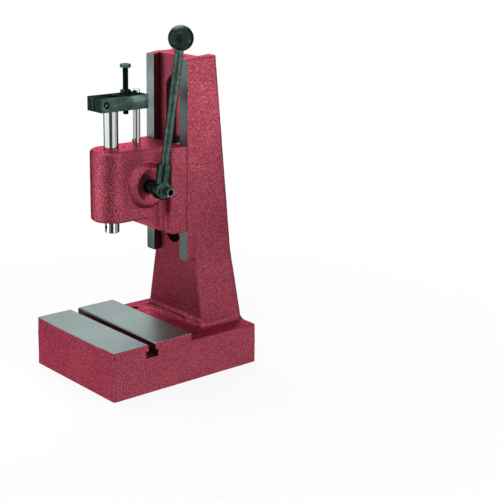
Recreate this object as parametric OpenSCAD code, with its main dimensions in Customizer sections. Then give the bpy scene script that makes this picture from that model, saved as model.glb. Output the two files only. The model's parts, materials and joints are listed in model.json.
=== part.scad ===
// Hand lever press: a rack-and-pinion bench press with a column frame.
// Origin at the centre of the base's underside, front towards -Y, lever side towards +X, +Z up.

/* [Base] */
// Width of the base at table level
base_w = 190; // [170:1:230]
// Length of the base from front to back
base_l = 250; // [240:1:300]
// Height of the ground table
table_h = 70; // [64:1:90]
// Length of the ground table from the base's front
table_l = 131; // [110:1:140]
// Step down from the table to the painted deck
deck_drop = 11.5; // [6:0.5:16]
// How far each side of the base widens towards its foot
base_draft = 1.2; // [0:0.1:3]
// Radius of the base's upright corners
base_corner = 4; // [2:0.5:8]
// Thickness of the base's side walls
base_wall = 14; // [9:1:20]
// Thickness of the base under the deck
deck_t = 14.5; // [10:0.5:20]
// Distance between the two mounting holes
hole_spacing = 140; // [130:1:150]
// Distance of the mounting holes behind the table's step
hole_back = 24; // [18:1:32]
// Diameter of the mounting holes
hole_d = 11; // [8:0.5:13]

/* [T-slot] */
// Distance of the T-slot's centre from the base's front
tslot_pos = 63.2; // [45:0.1:80]
// Width of the T-slot's neck
tslot_neck = 12; // [8:0.5:14]
// Height of the T-slot's neck
tslot_neck_h = 9.3; // [7:0.1:12]
// Width of the T-slot's chamber
tslot_w = 21; // [18:0.5:24]
// Height of the T-slot's chamber
tslot_h = 10.2; // [7:0.1:12]
// Chamfer along the T-slot's mouth
tslot_chamfer = 1.6; // [0.5:0.1:2.5]

/* [Column] */
// Distance of the column's rails behind the base's front
rail_back = 161; // [150:1:175]
// Overall width across the two rails
col_w = 94; // [80:1:100]
// Width of each rail's ground face
rail_face = 17; // [14:0.5:20]
// Height of the column's top
col_top = 444.5; // [430:0.5:480]
// Height of the rails' lower end
rail_bottom = 158.5; // [140:0.5:170]
// Depth of the channel between the rails
channel_d = 12; // [9:0.5:15]
// Thickness of the web behind the channel
web_t = 18; // [12:0.5:22]
// Depth of the column at its top
col_depth = 50; // [44:1:56]
// How much deeper the column is at the rails' lower end than at its top
col_deepen = 32; // [20:1:36]
// Half width of the column's foot at the deck
foot_half = 65.8; // [60:0.1:70]
// Setback of the stem below the rails
stem_back = 15.5; // [13:0.5:20]
// Radius of the fillet round the column's foot
foot_fillet = 5; // [3:0.5:7]
// Width of the upright slot in the web
web_slot_w = 33.6; // [26:0.2:38]
// Height of the web slot's lower end
web_slot_low = 174.5; // [170:0.5:176]
// Height of the web slot's upper end
web_slot_high = 417; // [414:0.5:425]
// Width and depth of the relief grooves beside the channel floor
relief = [3.2, 2]; // [1:0.1:4]

/* [Head] */
// Distance from the ram's axis to the rails
throat = 95; // [88:1:110]
// Height of the head flange's underside
head_z = 202; // [190:1:212]
// Height of the head flange
head_h = 122; // [116:1:130]
// Thickness of the head flange
flange_t = 28; // [22:0.5:34]
// Radius of the head's nose round the ram
nose_r = 29; // [26:0.5:34]
// Height of the nose
nose_h = 98.5; // [90:0.5:104]
// Radius along the nose's top and bottom edges
nose_edge = 4; // [2:0.5:6]
// Radius of the hollow corner between nose and flange
neck_fillet = 9; // [5:0.5:12]
// Length of the gusset under the nose
gusset_l = 28; // [20:1:34]
// Distance of the shaft's axis below the head's top
shaft_drop = 50.5; // [48:0.5:52]
// Radius of each side boss at its root
boss_r = 32; // [28:0.5:34]
// Radius of each side boss at its rim
boss_rim_r = 25.6; // [24:0.1:28]
// Height of each side boss
boss_h = 11; // [9:0.5:14]
// Width of the flat rim of the right boss
boss_land = 3.1; // [2:0.1:5]
// Depth of the dish in the right boss
dish_d = 4; // [2:0.5:6]
// Running clearance of shafts and slides on the radius
running = 0.04; // [0.02:0.01:0.08]

/* [Gear] */
// Module of the rack and the gear
gear_m = 2; // [2:0.25:2]
// Number of gear teeth
gear_z = 30; // [28:2:32]
// Width of the gear
gear_w = 18; // [14:1:20]
// Backlash between gear and rack
backlash = 0.3; // [0.2:0.05:0.6]
// Diameter of the pinion shaft
shaft_d = 16; // [14:0.5:18]
// Wall of the shaft bushes
bush_wall = 2; // [1.5:0.5:3]

/* [Ram] */
// Diameter of the ram
ram_d = 20; // [18:0.5:24]
// How far the ram stands out below the nose at rest
ram_out = 18.5; // [16:0.5:24]
// Working stroke of the ram
stroke = 34; // [20:1:34]
// Diameter of the tool bore
tool_bore_d = 10; // [8:0.5:10]
// Depth of the tool bore
tool_bore_depth = 25; // [20:1:30]
// Distance of the grub screw from the ram's lower end
grub_up = 8.6; // [7:0.1:12]
// Thread diameter of the grub screw
grub_d = 6; // [4:1:6]

/* [Bridge block] */
// Clear height between the head's top and the block
block_gap = 53.8; // [53:0.1:70]
// Width of the block
block_w = 33.5; // [28:0.5:38]
// Height of the block
block_h = 19.3; // [16:0.1:26]
// Distance from the ram's axis to the block's front end
block_front = 26.3; // [23:0.1:30]
// Distance from the guide rod's axis to the block's rear end
block_rear = 8; // [7.5:0.5:12]
// Width of the clamping slit
slit_w = 1.8; // [1:0.1:3]
// Thread diameter of the block's clamp screw
block_screw_d = 5; // [4:1:6]
// Distance from the ram's axis to the block's clamp screw
block_screw_y = 17.8; // [15:0.1:20]
// Distance from the ram's axis to the stop screw
stop_y_off = 25; // [20:0.5:28]
// Distance from the ram's axis to the guide rod
guide_y_off = 43; // [39:0.5:50]
// Diameter of the guide rod
guide_d = 10; // [8:0.5:12]
// How far the guide rod stands out above the block
guide_out = 5.4; // [1:0.1:6]
// Depth of the guide rod's seat in the head
guide_seat = 15; // [10:0.5:16]

/* [Stop screw] */
// Thread diameter of the stop screw
stop_d = 8; // [6:1:10]
// Width across flats of the stop screw's head and nut
stop_af = 13; // [10:0.5:17]
// Height of the stop screw's head
stop_head_h = 5; // [4:0.1:7]
// Height of the lock nut
nut_h = 6.5; // [4:0.1:8]
// How far the stop screw stands out below the block
stop_low = 7.8; // [4:0.1:8]
// Length of the stop screw under its head
stop_len = 63.5; // [60:0.5:80]

/* [Lever] */
// Distance from the shaft's axis to the ball's centre
lever_len = 205; // [160:1:260]
// How far the lever leans back at rest
lever_lean = 9.1; // [0:0.1:12]
// Diameter of the lever rod
rod_d = 12; // [10:0.5:14]
// Diameter of the ball knob
ball_d = 35; // [30:0.5:40]
// Radius of the hub's barrel
hub_r = 13; // [12:0.5:14]
// Radius of the hub's neck
hub_neck_r = 9.5; // [9.2:0.1:11]
// Length of the hub's neck
hub_neck_l = 14.7; // [12:0.1:20]
// Length of the hub's barrel
hub_l = 23; // [22:0.5:30]
// Distance of the lever from the inner end of the hub's barrel
lever_at = 12.5; // [11:0.1:14]
// Radius of the hub's rod socket
socket_r = 10; // [9:0.5:11]
// Distance from the shaft's axis to the socket's mouth
socket_l = 36; // [28:0.5:40]
// Diameter of the shaft's seat in the hub
seat_d = 14; // [12:0.5:14]

/* [Clamp] */
// Thread diameter of the clamp bolts
clamp_d = 10; // [8:1:10]
// Height between the clamp bolts
clamp_pitch = 93; // [92:0.5:94]
// Depth of the clamp bolts' threads in the head
clamp_seat = 22; // [16:1:24]
// Size of the clamp plate: width, thickness, height
clamp_plate_size = [56, 12, 118]; // [8:1:120]

/* [Return spring] */
// Radius of the spring's chamber in the left boss
chamber_r = 21; // [19:0.5:21.5]
// Depth of the spring's chamber
chamber_d = 10; // [8:0.5:11]
// Thickness of the spring's strip
strip_t = 0.8; // [0.5:0.1:1]
// Width of the spring's strip
strip_w = 6; // [4:0.5:7]
// Number of turns of the spring
spring_turns = 5; // [3:1:6]
// Thickness of the spring's cover
cover_t = 2.5; // [2:0.5:4]
// Length of the cover's screws under their heads
cover_screw_l = 8; // [6:0.5:10]
// Radius and height of the cover screws' heads
cover_screw_head = [2.2, 1.8]; // [1:0.1:3]

/* [Hidden] */
$fn = 96;

// Paints and bare metals
paint = [0.62, 0.16, 0.25];
ground = [0.55, 0.60, 0.58];
black = [0.13, 0.17, 0.16];
bright = [0.80, 0.82, 0.82];
bronze = [0.71, 0.53, 0.30];
zinc = [0.62, 0.64, 0.62];

eps = 0.01;           // overlap of a cutter past a face
cut = 1;              // overrun of a cutter past the outside
joint_gap = 0.05;     // gap between faces that slide on each other

// Base
deck_h = table_h - deck_drop;
front_y = -base_l / 2;
rear_y = base_l / 2;
step_y = front_y + table_l;
tslot_y = front_y + tslot_pos;
hole_y = step_y + hole_back;
hole_boss_r = hole_d / 2 + 8.5;
hole_chamfer = 1;
table_t = tslot_neck_h + tslot_h + 12;       // table over the hollow, 12 under the slot
hollow_front_h = table_h - table_t;
hollow_rear_h = deck_h - deck_t;
rib_t = 10;

// Column
rail_y = front_y + rail_back;
col_half = col_w / 2;
inner_half = col_half - rail_face;
web_y = rail_y + channel_d;
web_rear_y = web_y + web_t;
top_rear_y = rail_y + col_depth;
low_rear_y = top_rear_y + col_deepen;
foot_rear_y = rear_y - 1;
stem_y = rail_y + stem_back;
stem_fillet = 3.5;
flare_top = rail_bottom + 16.5;              // where the sides begin to widen
flare_bend = 31;                             // height over which they bend outwards
flare_slope = (foot_half - col_half) / (flare_top - flare_bend / 2 - deck_h);
hollow_floor = deck_h + 16.5;
slot_r = web_slot_w / 2;

// Head
head_top = head_z + head_h;
ram_y = rail_y - throat;
flange_y = rail_y - flange_t;
nose_z = head_top - nose_h;
tongue_d = channel_d - 1;
tongue_half = inner_half - joint_gap * 2;
flange_edge = 3;

// Gear and rack
pitch_r = gear_m * gear_z / 2;
tip_r = pitch_r + gear_m;
root_r = pitch_r - 1.25 * gear_m;
pressure = 20;
base_r = pitch_r * cos(pressure);
pitch = PI * gear_m;
rack_line = ram_d / 2 - gear_m;              // pitch line behind the ram's axis
shaft_y = ram_y + rack_line + pitch_r;
shaft_z = head_top - shaft_drop;
cavity_r = tip_r + 1.5;
cavity_half = gear_w / 2 + 1.5;

// Shaft stations along X
bush_r = shaft_d / 2 + bush_wall;
boss_x = nose_r + boss_h;
dish_x = boss_x - dish_d;
shoulder_x = dish_x + 0.3;
neck_end_x = shoulder_x + hub_neck_l;
hub_end_x = neck_end_x + hub_l;
lever_x = neck_end_x + lever_at;
chamber_x = -boss_x + chamber_d;
circlip_w = 1.2;
shaft_left_x = -boss_x + 1.2;
cap_d = 13;
cap_h = 8;
cap_thread_d = 8;
hub_washer_t = 2;
key_w = 4;

// Ram, block and rods
ram_low = nose_z - ram_out;
block_z = head_top + block_gap;
block_top = block_z + block_h;
ram_high = block_top - 0.6;
stop_y = ram_y + stop_y_off;
guide_y = ram_y + guide_y_off;
guide_low = head_top - guide_seat;
guide_high = block_top + guide_out;
stop_end = block_z - stop_low;
stop_pad_r = stop_d / 2 + 1;
stop_pad_d = 1.5;
block_head_r = block_screw_d * 0.85;
block_head_h = block_screw_d;

// Clamp
clamp_mid_z = shaft_z - 5.5;
clamp_zs = [clamp_mid_z - clamp_pitch / 2, clamp_mid_z + clamp_pitch / 2];
clamp_thread_y = rail_y - clamp_seat;
clamp_washer_t = 2;
clamp_plate_y = web_rear_y + joint_gap;
clamp_head_y = clamp_plate_y + clamp_plate_size[1] + clamp_washer_t;

// Spring
anchor_r = 1.25;
spring_in = shaft_d / 2 + strip_t / 2 + 0.3;
spring_out = chamber_r - 2 * anchor_r - strip_t / 2 - 0.2;
spring_x = -boss_x + (chamber_d - strip_w) / 2;
cover_screw_r = (chamber_r + boss_rim_r) / 2;
cover_screw_d = 2.5;

// ---------- small helpers ----------

// A cylinder along +X that starts at x
module along_x(x, length, r1, r2 = undef) {
    translate([x, 0, 0])
        rotate([0, 90, 0])
            cylinder(h = length, r1 = r1, r2 = is_undef(r2) ? r1 : r2);
}

// A cylinder along +Y that starts at y
module along_y(y, length, r) {
    translate([0, y, 0])
        rotate([-90, 0, 0])
            cylinder(h = length, r = r);
}

// A hexagonal prism, across flats af
module hexagon(af, h) {
    cylinder(h = h, r = af / sqrt(3), $fn = 6);
}

// A hexagonal head or nut whose corners are turned off at the top
module hex_head(af, h) {
    intersection() {
        hexagon(af, h);
        union() {
            cylinder(h = h - 1, r = af);
            translate([0, 0, h - 1])
                cylinder(h = 1, r1 = af / sqrt(3) + 0.6, r2 = af / 2 - 0.2);
        }
    }
}

// A socket head cap screw that points down from its head's underside
module cap_screw(d, length, head_r, head_h) {
    difference() {
        union() {
            translate([0, 0, -length]) cylinder(h = length + eps, r = d / 2);
            cylinder(h = head_h - 0.6, r = head_r);
            translate([0, 0, head_h - 0.6])
                cylinder(h = 0.6, r1 = head_r, r2 = head_r - 0.6);
        }
        translate([0, 0, head_h / 2]) hexagon(d * 0.75, head_h);
    }
}

// Extrudes a Y-Z outline along X, between -half and +half
module across(half) {
    translate([-half, 0, 0])
        rotate([90, 0, 90])
            linear_extrude(height = 2 * half) children();
}

// Extrudes an X-Z outline along Y, from y0 to y1
module lengthwise(y0, y1) {
    translate([0, y1, 0])
        rotate([90, 0, 0])
            linear_extrude(height = y1 - y0) children();
}

// Places a child at the pinion shaft's axis
module at_shaft() {
    translate([0, shaft_y, shaft_z]) children();
}

// ---------- frame ----------

// Half width of the column at height z, widening below flare_top
function side_at(z) =
    z >= flare_top ? col_half :
    z >= flare_top - flare_bend
        ? col_half + flare_slope * pow(flare_top - z, 2) / (2 * flare_bend)
        : col_half + flare_slope * (flare_top - z - flare_bend / 2);

// Heights at which the flared side has a point
flare_zs = concat([for (i = [0:5]) flare_top - i * flare_bend / 5], [deck_h + foot_fillet]);

// Right-hand side of the column as seen from the front, with its foot fillet
function side_points(inset, fillet) = concat(
    [[col_half - inset, col_top + cut]],
    [for (z = flare_zs) [side_at(z) - inset, z]],
    [for (a = [30:30:90])
        [side_at(deck_h) - inset + fillet * (1 - cos(a)), deck_h + fillet * (1 - sin(a))]]
);

module mirrored_outline(points) {
    polygon(concat(points, [for (i = [len(points) - 1:-1:0]) [-points[i][0], points[i][1]]]));
}

// The column as seen from the right: rails, ledge, stem, foot fillet and sloping back
module column_profile() {
    polygon(concat(
        [[rail_y, col_top], [rail_y, rail_bottom], [stem_y - stem_fillet, rail_bottom]],
        [for (a = [30:30:90])
            [stem_y - stem_fillet * (1 - sin(a)), rail_bottom - stem_fillet * (1 - cos(a))]],
        [for (a = [0:30:90])
            [stem_y - foot_fillet * (1 - cos(a)), deck_h + foot_fillet * (1 - sin(a))]],
        [[stem_y - foot_fillet, deck_h - 4], [foot_rear_y, deck_h - 4], [foot_rear_y, deck_h]],
        [[low_rear_y, rail_bottom - 3.5], [top_rear_y, col_top]]
    ));
}

// Base as seen from the right: table, step and deck, with drafted ends
module base_profile() {
    polygon([
        [front_y - base_draft, 0], [front_y, table_h], [step_y, table_h],
        [step_y, deck_h], [rear_y, deck_h], [rear_y + base_draft, 0]
    ]);
}

module base_block() {
    intersection() {
        across(base_w) base_profile();
        lengthwise(front_y - 2 * base_draft, rear_y + 2 * base_draft + cut)
            polygon([
                [-base_w / 2 - base_draft, 0], [base_w / 2 + base_draft, 0],
                [base_w / 2, table_h], [-base_w / 2, table_h]
            ]);
        upright_block(base_w + 2 * base_draft, base_l + 2 * base_draft, table_h, base_corner);
    }
}

// A block with round upright corners, centred on the axis
module upright_block(w, l, h, r) {
    linear_extrude(height = h)
        union() {
            square([w - 2 * r, l], center = true);
            square([w, l - 2 * r], center = true);
            for (sx = [-1, 1])
                for (sy = [-1, 1])
                    translate([sx * (w / 2 - r), sy * (l / 2 - r)]) circle(r = r);
        }
}

module base_hollow() {
    half = base_w / 2 - base_wall;
    difference() {
        union() {
            translate([-half, front_y + base_wall, -cut])
                cube([2 * half, step_y - front_y - base_wall - rib_t / 2, hollow_front_h + cut]);
            translate([-half, step_y + rib_t / 2, -cut])
                cube([2 * half, rear_y - base_wall - step_y - rib_t / 2, hollow_rear_h + cut]);
        }
        for (side = [-1, 1])
            translate([side * hole_spacing / 2, hole_y, -2 * cut])
                cylinder(h = table_h, r = hole_boss_r);
    }
}

module t_slot() {
    neck = tslot_neck / 2;
    wide = tslot_w / 2;
    mouth = neck + tslot_chamfer;
    bottom = table_h - tslot_neck_h - tslot_h;
    translate([0, tslot_y, 0])
        across(base_w)
            polygon([
                [-wide, bottom], [wide, bottom], [wide, bottom + tslot_h], [neck, bottom + tslot_h],
                [neck, table_h - tslot_chamfer], [mouth, table_h], [mouth, table_h + cut],
                [-mouth, table_h + cut], [-mouth, table_h], [-neck, table_h - tslot_chamfer],
                [-neck, bottom + tslot_h], [-wide, bottom + tslot_h]
            ]);
}

module mounting_hole() {
    translate([0, 0, -cut]) cylinder(h = table_h + cut, r = hole_d / 2);
    translate([0, 0, deck_h - hole_chamfer])
        cylinder(h = 2 * hole_chamfer, r1 = hole_d / 2, r2 = hole_d / 2 + 2 * hole_chamfer);
}

module web_slot() {
    low = web_slot_low + slot_r;
    high = web_slot_high - slot_r;
    translate([-slot_r, rail_y, low]) cube([web_slot_w, web_rear_y - rail_y + cut, high - low]);
    for (z = [low, high])
        translate([0, 0, z]) along_y(rail_y, web_rear_y - rail_y + cut, slot_r);
}

module column() {
    difference() {
        intersection() {
            across(base_w / 2) column_profile();
            lengthwise(rail_y - cut, rear_y)
                mirrored_outline(side_points(0, foot_fillet));
        }
        // channel between the rails, with its relief grooves
        translate([-inner_half, rail_y - cut, rail_bottom - stem_fillet - cut])
            cube([2 * inner_half, channel_d + cut, col_top]);
        for (side = [-1, 1])
            translate([side * inner_half - relief[1], web_y - relief[0], rail_bottom - stem_fillet - cut])
                cube([2 * relief[1], relief[0], col_top]);
        web_slot();
        // hollow behind the web, open to the rear
        intersection() {
            lengthwise(web_rear_y, rear_y + cut)
                mirrored_outline(side_points(rail_face, 0));
            translate([-base_w / 2, web_rear_y, hollow_floor])
                cube([base_w, base_l, col_top]);
        }
    }
}

module frame_casting() {
    color(paint)
        difference() {
            union() {
                base_block();
                column();
            }
            base_hollow();
            t_slot();
            for (side = [-1, 1])
                translate([side * hole_spacing / 2, hole_y, 0]) mounting_hole();
        }
}

// ---------- head ----------

// Half of the nose's upright section, with rounded outer corners
module nose_half_section() {
    square([nose_r - nose_edge, nose_h]);
    translate([0, nose_edge]) square([nose_r, nose_h - 2 * nose_edge]);
    for (z = [nose_edge, nose_h - nose_edge])
        translate([nose_r - nose_edge, z]) circle(r = nose_edge);
}

module nose() {
    translate([0, ram_y, nose_z])
        rotate_extrude()
            intersection() {
                nose_half_section();
                square([nose_r + cut, nose_h]);
            }
    translate([0, 0, nose_z])
        lengthwise(ram_y, flange_y + nose_edge) {
            nose_half_section();
            mirror([1, 0]) nose_half_section();
        }
}

// Sloping web under the nose, down to the flange's lower edge
module gusset() {
    across(nose_r)
        polygon([
            [flange_y - gusset_l, nose_z + nose_edge], [flange_y - gusset_l, nose_z],
            [flange_y - gusset_l + 4, nose_z - 1.2], [flange_y, head_z + 1.2],
            [flange_y + 3, head_z], [flange_y + nose_edge, head_z],
            [flange_y + nose_edge, nose_z + nose_edge]
        ]);
}

module flange() {
    half = col_half - flange_edge;
    translate([-col_half, flange_y + flange_edge, head_z])
        cube([col_w, flange_t - flange_edge - joint_gap, head_h]);
    translate([-half, flange_y, head_z + flange_edge])
        cube([2 * half, flange_t - joint_gap, head_h - 2 * flange_edge]);
    translate([-half, flange_y + flange_edge, head_z])
        cube([2 * half, flange_t - flange_edge - joint_gap, head_h]);
    // round front edges
    for (side = [-1, 1])
        translate([side * half, flange_y + flange_edge, head_z + flange_edge])
            cylinder(h = head_h - 2 * flange_edge, r = flange_edge);
    for (z = [head_z + flange_edge, head_top - flange_edge])
        translate([0, flange_y + flange_edge, z]) along_x(-half, 2 * half, flange_edge);
    for (side = [-1, 1])
        for (z = [head_z + flange_edge, head_top - flange_edge])
            translate([side * half, flange_y + flange_edge, z]) sphere(r = flange_edge);
    // tongue in the column's channel
    translate([-tongue_half, rail_y - 2 * joint_gap, head_z + flange_edge])
        cube([2 * tongue_half, tongue_d, head_h - 2 * flange_edge]);
}

// Hollow corners between the nose's sides and the flange
module neck_fillets() {
    top = head_top - nose_edge;
    for (side = [-1, 1])
        difference() {
            translate([side > 0 ? nose_r - eps : -nose_r - neck_fillet, flange_y - neck_fillet, head_z + nose_edge])
                cube([neck_fillet + eps, neck_fillet + eps, top - head_z - nose_edge]);
            translate([side * (nose_r + neck_fillet), flange_y - neck_fillet, head_z - cut])
                cylinder(h = head_h + 2 * cut, r = neck_fillet);
            // the fillet follows the gusset's slope below the nose
            translate([0, -eps, 0])
                across(base_w)
                    polygon([
                        [flange_y - gusset_l, head_z - cut], [flange_y - gusset_l, nose_z + 0.5],
                        [flange_y - gusset_l + 4, nose_z - 1.2], [flange_y, head_z + 1.2], [flange_y, head_z - cut]
                    ]);
        }
}

module side_bosses() {
    at_shaft() {
        along_x(nose_r - cut, boss_h + cut, boss_r + (boss_r - boss_rim_r) / boss_h, boss_rim_r);
        mirror([1, 0, 0])
            along_x(nose_r - cut, boss_h + cut, boss_r + (boss_r - boss_rim_r) / boss_h, boss_rim_r);
    }
}

module gear_cavity() {
    at_shaft() along_x(-cavity_half, 2 * cavity_half, cavity_r);
    // way in for the gear from the rear face
    translate([-cavity_half, shaft_y, shaft_z - tip_r - 0.2])
        cube([2 * cavity_half, rail_y + tongue_d - shaft_y + cut, 2 * tip_r + 0.4]);
}

module head_casting() {
    color(paint)
        difference() {
            union() {
                nose();
                gusset();
                flange();
                neck_fillets();
                side_bosses();
            }
            gear_cavity();
            // ram, guide rod and stop spot
            translate([0, ram_y, nose_z - cut]) cylinder(h = nose_h + 2 * cut, r = ram_d / 2 + running);
            translate([0, guide_y, guide_low]) cylinder(h = guide_seat + cut, r = guide_d / 2);
            translate([0, stop_y, head_top - stop_pad_d]) cylinder(h = stop_pad_d + cut, r = stop_pad_r);
            at_shaft() {
                // dish, bush seats and spring chamber
                along_x(dish_x, dish_d + eps, bush_r + 0.8, boss_rim_r - boss_land + 0.02);
                along_x(cavity_half - eps, boss_x - cavity_half, bush_r);
                along_x(chamber_x - eps, -cavity_half - chamber_x + 2 * eps, bush_r);
                along_x(-boss_x - cut, chamber_d + cut, chamber_r);
            }
            for (a = [90:120:330])
                at_shaft()
                    translate([0, cover_screw_r * cos(a), cover_screw_r * sin(a)])
                        along_x(-boss_x - cut, cover_screw_l + cut, cover_screw_d / 2);
            at_shaft() anchor_place() along_x(chamber_x - eps, 4, anchor_r);
            // tapped holes for the clamp bolts
            for (z = clamp_zs)
                translate([0, 0, z]) along_y(clamp_thread_y, rail_y + tongue_d - clamp_thread_y + cut, clamp_d / 2);
        }
}

module guide_rod() {
    color(bright)
        translate([0, guide_y, guide_low]) {
            cylinder(h = guide_high - guide_low - 0.8, r = guide_d / 2);
            translate([0, 0, guide_high - guide_low - 0.8])
                cylinder(h = 0.8, r1 = guide_d / 2, r2 = guide_d / 2 - 0.8);
        }
}

// ---------- clamp on the column ----------

module clamp_plate() {
    size = clamp_plate_size;
    color(zinc)
        difference() {
            translate([-size[0] / 2, clamp_plate_y, clamp_mid_z - size[2] / 2]) cube(size);
            for (z = clamp_zs)
                translate([0, 0, z]) along_y(clamp_plate_y - cut, size[1] + 2 * cut, clamp_d / 2 + 0.5);
        }
}

module clamp_washer(z) {
    color(zinc)
        translate([0, 0, z])
            difference() {
                along_y(clamp_head_y - clamp_washer_t, clamp_washer_t, clamp_d);
                along_y(clamp_head_y - clamp_washer_t - cut, clamp_washer_t + 2 * cut, clamp_d / 2 + 0.25);
            }
}

module clamp_bolt(z) {
    color(zinc)
        translate([0, 0, z]) {
            along_y(clamp_thread_y + 2, clamp_head_y - clamp_thread_y - 2 + eps, clamp_d / 2);
            translate([0, clamp_head_y, 0])
                rotate([-90, 0, 0]) hex_head(clamp_d * 1.6, clamp_d * 0.64);
        }
}

module clamp_bolt_lower() { clamp_bolt(clamp_zs[0]); }
module clamp_bolt_upper() { clamp_bolt(clamp_zs[1]); }
module clamp_washer_lower() { clamp_washer(clamp_zs[0]); }
module clamp_washer_upper() { clamp_washer(clamp_zs[1]); }

// ---------- shaft bushes and return spring ----------

module shaft_bush(x0, x1) {
    color(bronze)
        at_shaft()
            difference() {
                along_x(x0, x1 - x0, bush_r);
                along_x(x0 - cut, x1 - x0 + 2 * cut, shaft_d / 2 + running);
            }
}

module shaft_bush_right() { shaft_bush(cavity_half, dish_x); }
module shaft_bush_left() { shaft_bush(chamber_x, -cavity_half); }

// Place of the spring's outer end in the chamber
module anchor_place() {
    translate([0, 0, -spring_out - anchor_r - strip_t / 2 + 0.05]) children();
}

// Points along one face of the spiral strip
function spiral(offset) = [for (i = [0:spring_turns * 24])
    let (t = i / (spring_turns * 24), a = 15 * i - 90, r = spring_in + (spring_out - spring_in) * t + offset)
    [r * cos(a), r * sin(a)]];

module return_spring() {
    inner = spiral(-strip_t / 2);
    outer = spiral(strip_t / 2);
    color(black)
        at_shaft()
            translate([spring_x, 0, 0])
                rotate([90, 0, 90])
                    linear_extrude(height = strip_w)
                        polygon(concat(outer, [for (i = [len(inner) - 1:-1:0]) inner[i]]));
}

module spring_anchor_pin() {
    color(zinc)
        at_shaft() anchor_place() along_x(spring_x, chamber_x + 3.5 - spring_x, anchor_r);
}

module spring_cover() {
    color(paint)
        at_shaft()
            difference() {
                along_x(-boss_x - cover_t, cover_t, boss_rim_r - 0.1);
                for (a = [90:120:330])
                    translate([0, cover_screw_r * cos(a), cover_screw_r * sin(a)])
                        along_x(-boss_x - cover_t - cut, cover_t + 2 * cut, cover_screw_d / 2);
            }
}

module spring_cover_screws() {
    color(black)
        for (a = [90:120:330])
            at_shaft()
                translate([-boss_x - cover_t, cover_screw_r * cos(a), cover_screw_r * sin(a)])
                    rotate([0, -90, 0])
                        cap_screw(cover_screw_d, cover_screw_l, cover_screw_head[0], cover_screw_head[1]);
}

// ---------- ram and bridge block ----------

// One gap between two rack teeth, cut along X
module rack_gap() {
    open = pitch / 4 + backlash / 4 + gear_m * tan(pressure);
    deep = pitch / 4 + backlash / 4 - 1.25 * gear_m * tan(pressure);
    out = 2;
    across(ram_d)
        polygon([
            [rack_line - 1.25 * gear_m, -deep], [rack_line + gear_m, -open],
            [rack_line + gear_m + out, -open - out * tan(pressure)],
            [rack_line + gear_m + out, open + out * tan(pressure)],
            [rack_line + gear_m, open], [rack_line - 1.25 * gear_m, deep]
        ]);
}

module ram() {
    color(bright)
        translate([0, ram_y, 0])
            difference() {
                union() {
                    translate([0, 0, ram_low + 1])
                        cylinder(h = ram_high - ram_low - 1, r = ram_d / 2);
                    translate([0, 0, ram_low])
                        cylinder(h = 1, r1 = ram_d / 2 - 1, r2 = ram_d / 2);
                }
                translate([0, 0, ram_low - cut])
                    cylinder(h = tool_bore_depth + cut, r = tool_bore_d / 2);
                translate([0, 0, ram_low + grub_up])
                    along_y(-ram_d, ram_d, grub_d / 2);
                for (i = [rack_first:rack_last])
                    translate([0, 0, shaft_z + i * pitch]) rack_gap();
            }
}

module tool_grub_screw() {
    length = (ram_d - tool_bore_d) / 2 - 0.9;
    color(black)
        translate([0, ram_y, ram_low + grub_up])
            difference() {
                along_y(-ram_d / 2 + 0.6, length, grub_d / 2);
                translate([0, -ram_d / 2 + 0.6 - cut, 0])
                    rotate([-90, 0, 0]) hexagon(grub_d / 2, cut + 2.5);
            }
}

module bridge_block() {
    front = ram_y - block_front;
    rear = guide_y + block_rear;
    screw_y = ram_y - block_screw_y;
    screw_z = block_z + block_h / 2;
    color(black)
        difference() {
            translate([-block_w / 2, front, block_z]) cube([block_w, rear - front, block_h]);
            translate([0, ram_y, block_z - cut]) cylinder(h = block_h + 2 * cut, r = ram_d / 2);
            translate([0, guide_y, block_z - cut])
                cylinder(h = block_h + 2 * cut, r = guide_d / 2 + running);
            translate([0, stop_y, block_z - cut])
                cylinder(h = block_h + 2 * cut, r = stop_d / 2 + running);
            // slit from the front into the ram's bore
            translate([-slit_w / 2, front - cut, block_z - cut])
                cube([slit_w, ram_y - front, block_h + 2 * cut]);
            // clamp screw: counterbore, clearance hole and thread
            translate([0, screw_y, screw_z]) {
                along_x(block_w / 2 - block_head_h - 1, block_head_h + 1 + cut, block_head_r + 0.4);
                along_x(-block_w / 2 - cut, block_w + 2 * cut, block_screw_d / 2);
            }
        }
}

module block_clamp_screw() {
    color(black)
        translate([block_w / 2 - block_head_h - 1, ram_y - block_screw_y, block_z + block_h / 2])
            rotate([0, 90, 0])
                cap_screw(block_screw_d, block_w - block_head_h - 3, block_head_r, block_head_h);
}

module lock_nut() {
    color(black)
        translate([0, stop_y, block_top])
            difference() {
                hex_head(stop_af, nut_h);
                translate([0, 0, -cut]) cylinder(h = nut_h + 2 * cut, r = stop_d / 2 + running);
            }
}

module stop_screw() {
    color(black)
        translate([0, stop_y, stop_end]) {
            cylinder(h = 1, r1 = stop_d / 2 - 1, r2 = stop_d / 2);
            translate([0, 0, 1]) cylinder(h = stop_len - 1, r = stop_d / 2);
            translate([0, 0, stop_len]) hex_head(stop_af, stop_head_h);
        }
}

// ---------- gear and shaft ----------

// Involute function, in degrees
function inv(a) = tan(a) * 180 / PI - a;

// Half of a tooth's angle at radius r, in degrees
function half_tooth(r) =
    (pitch / 2 - backlash / 2) / (2 * pitch_r) * 180 / PI + inv(pressure)
    - (r > base_r ? inv(acos(base_r / r)) : 0);

flank_rs = [for (i = [0:4]) base_r + (tip_r - base_r) * i / 4];

// One tooth's points, from its lower root to its upper root, round the angle a
function tooth_points(a) = concat(
    [polar(root_r, a - half_tooth(base_r))],
    [for (r = flank_rs) polar(r, a - half_tooth(r))],
    [for (i = [len(flank_rs) - 1:-1:0]) polar(flank_rs[i], a + half_tooth(flank_rs[i]))],
    [polar(root_r, a + half_tooth(base_r))]
);
function polar(r, a) = [r * cos(a), r * sin(a)];

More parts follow.
